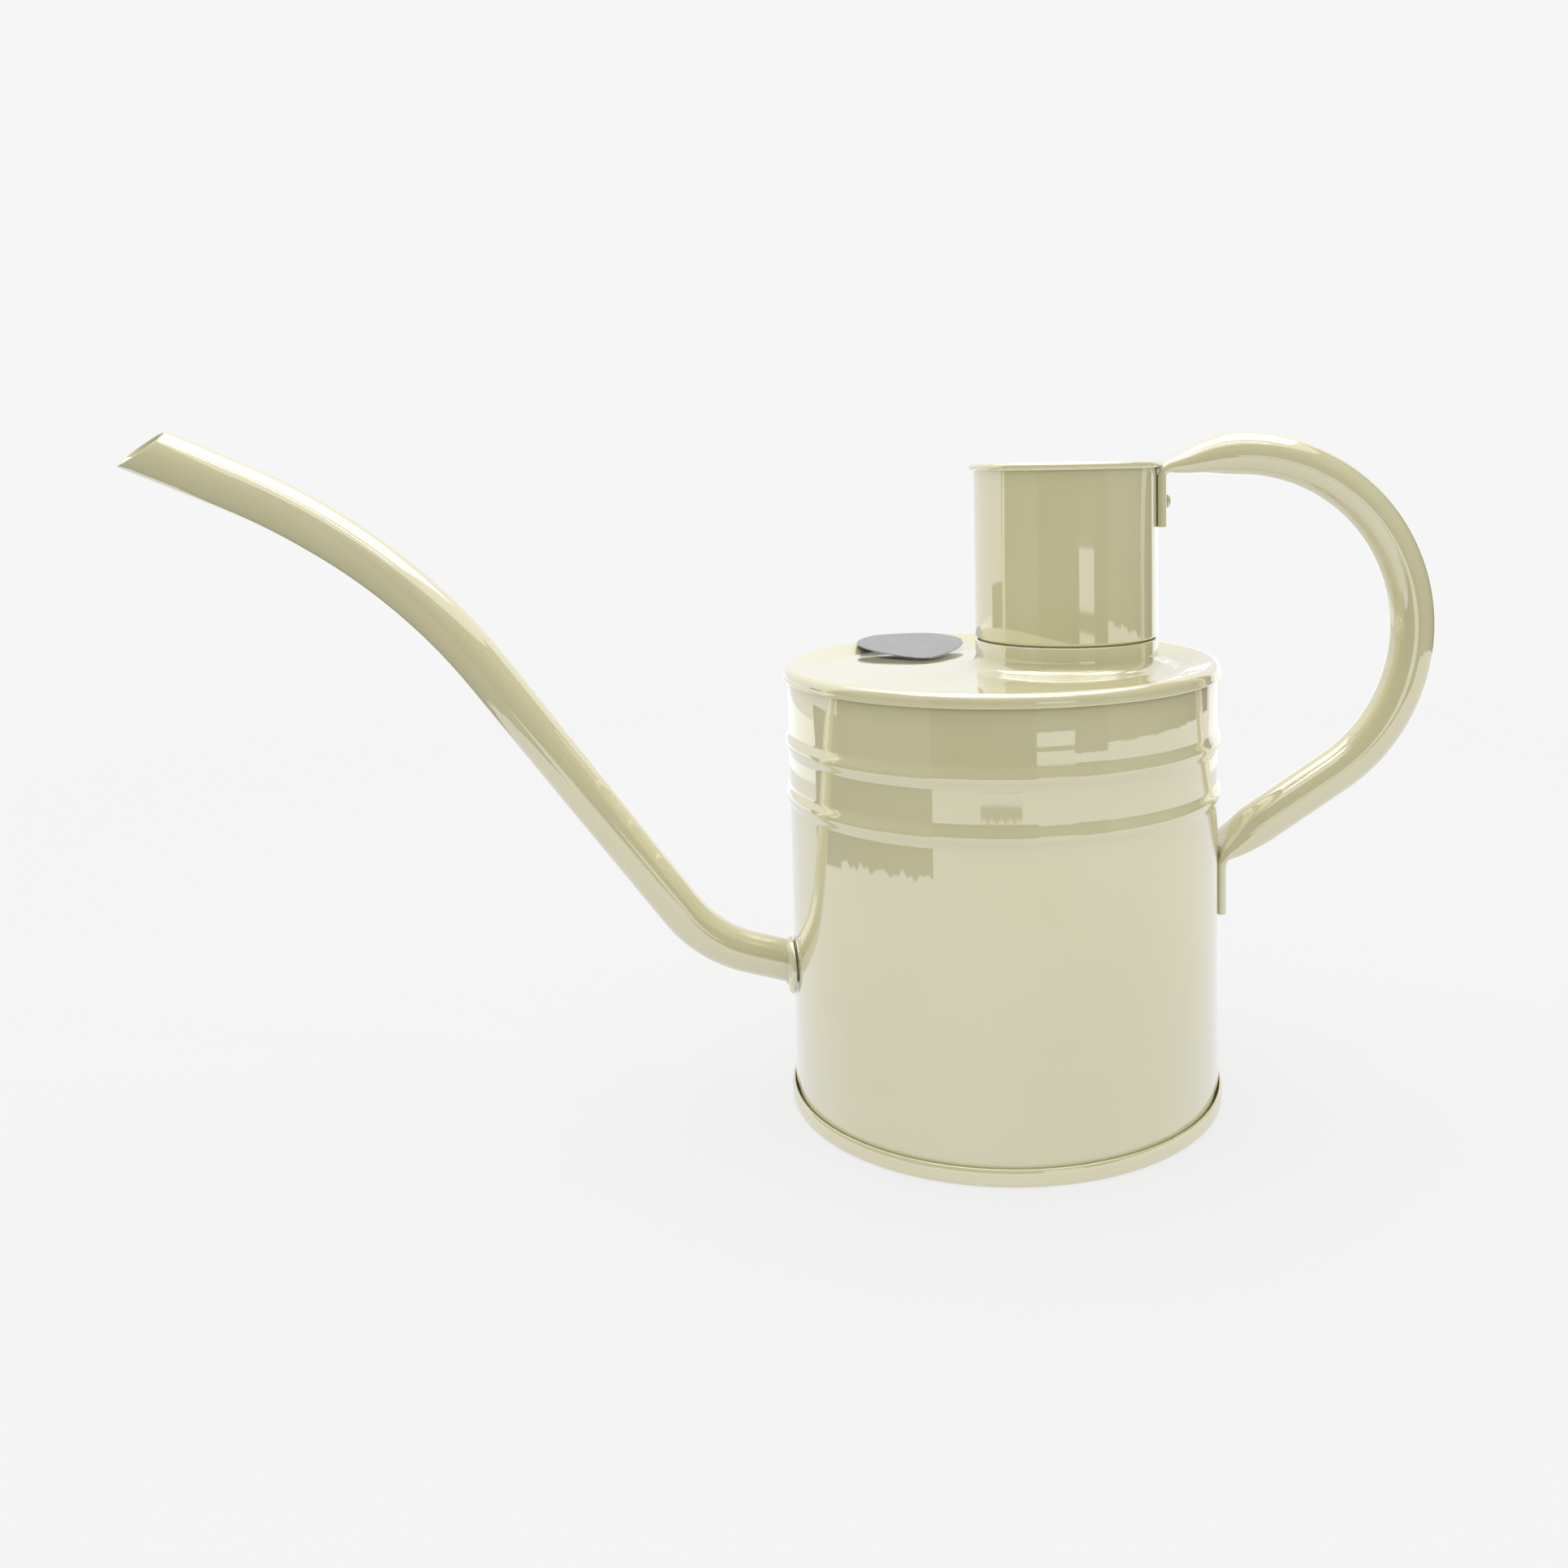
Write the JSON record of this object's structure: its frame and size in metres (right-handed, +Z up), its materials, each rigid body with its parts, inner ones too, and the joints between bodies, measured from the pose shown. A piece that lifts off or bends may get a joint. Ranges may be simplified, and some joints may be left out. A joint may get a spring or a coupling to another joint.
{
  "type": "watering can",
  "caption": "Indoor watering can in cream enamelled steel, with a long bent side spout, an open filler neck and a tube handle.",
  "frame": {"origin": "middle of the base disc's underside is 1.5 mm above the origin, which is on the ground under the body's axis", "axes": "+X from the body's axis to the handle, +Y to the back, +Z up; the spout is on the -X side"},
  "size_m": [0.3303, 0.114, 0.1777],
  "materials": {
    "cream_enamel": "gloss",
    "badge_metal": "satin"
  },
  "bodies": {
    "root": {"base_plate": "cream_enamel", "body_shell": "cream_enamel", "top_plate": "cream_enamel", "filler_neck": "cream_enamel", "spout_tube": "cream_enamel", "spout_flange": "cream_enamel", "handle_tube": "cream_enamel", "upper_rivet": "cream_enamel", "lower_rivet": "cream_enamel", "badge_plate": "badge_metal"}
  },
  "joints": []
}
